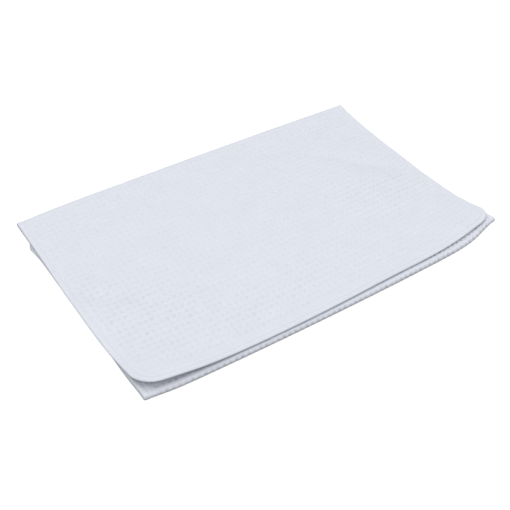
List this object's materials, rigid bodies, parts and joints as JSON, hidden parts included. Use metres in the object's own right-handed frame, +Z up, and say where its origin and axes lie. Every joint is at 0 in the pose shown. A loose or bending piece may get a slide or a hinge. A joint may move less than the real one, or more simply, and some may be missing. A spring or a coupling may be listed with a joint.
{
  "type": "folded dishcloth",
  "caption": "White waffle-weave dishcloth with a turned hem and rounded corners, folded back and forth into a flat rectangle that lies on a surface.",
  "frame": {"origin": "middle of the folded cloth's footprint, on the surface it lies on", "axes": "+X along the folds, +Y towards the back fold, +Z up"},
  "size_m": [0.4007, 0.2684, 0.0155],
  "materials": {
    "waffle_cloth": "matt white waffle weave with a soft nap and a turned, stitched hem"
  },
  "bodies": {
    "root": {"dishcloth": "waffle_cloth"}
  },
  "joints": []
}
